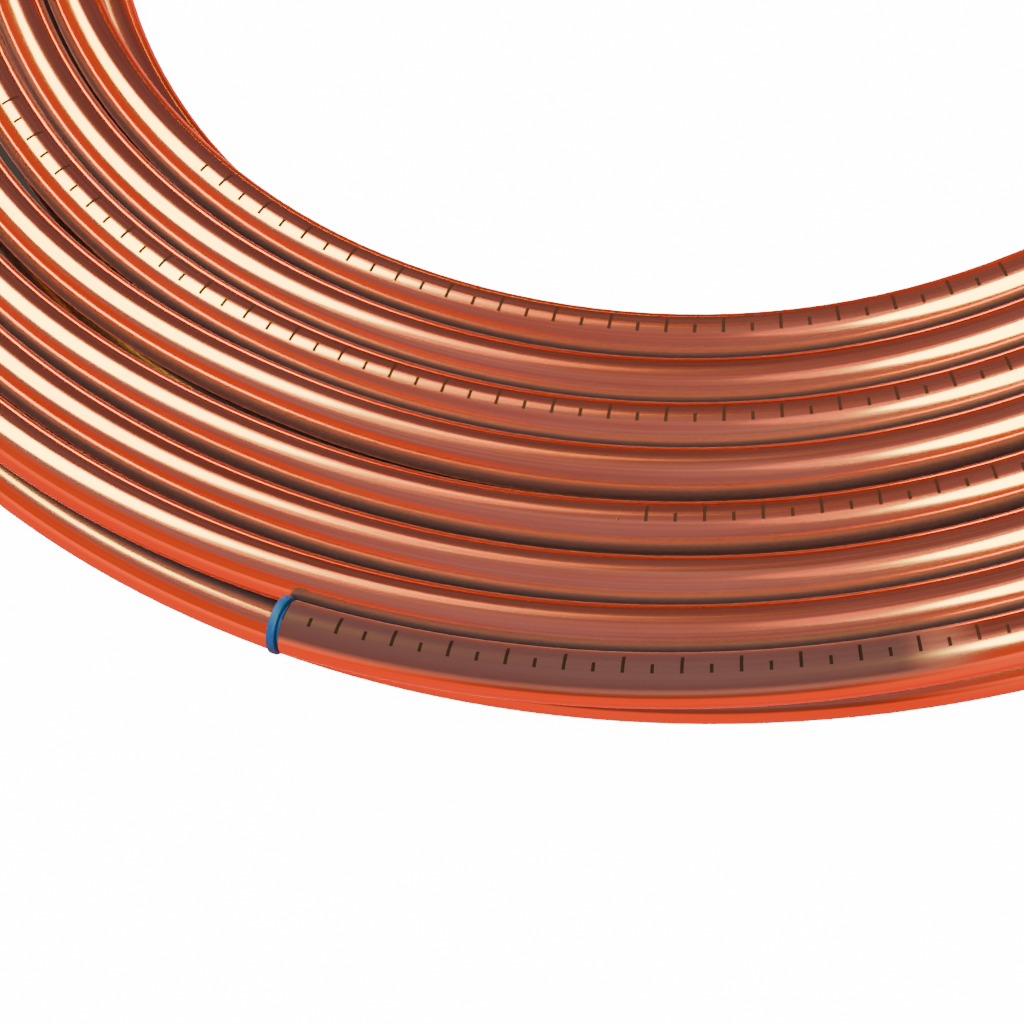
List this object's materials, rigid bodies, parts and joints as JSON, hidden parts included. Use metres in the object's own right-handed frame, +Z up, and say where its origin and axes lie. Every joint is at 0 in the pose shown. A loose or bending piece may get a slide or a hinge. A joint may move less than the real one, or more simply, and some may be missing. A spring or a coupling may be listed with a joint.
{
  "type": "copper tube coil",
  "caption": "Flat coil of soft-drawn copper tube wound in two layers as a double spiral, open in the middle, with a push-in plug in each tube end.",
  "frame": {"origin": "on the coil's winding axis, at the floor that it lies on", "axes": "+Z up, along the coil's winding axis; -Y is the front, near the upper tube end; +X to the right of it"},
  "size_m": [0.4089, 0.4174, 0.0203],
  "materials": {
    "copper": "bright drawn copper",
    "plug_plastic": "moulded blue plastic"
  },
  "bodies": {
    "root": {"copper_tube": "copper", "upper_end_plug": "plug_plastic", "lower_end_plug": "plug_plastic"}
  },
  "joints": []
}
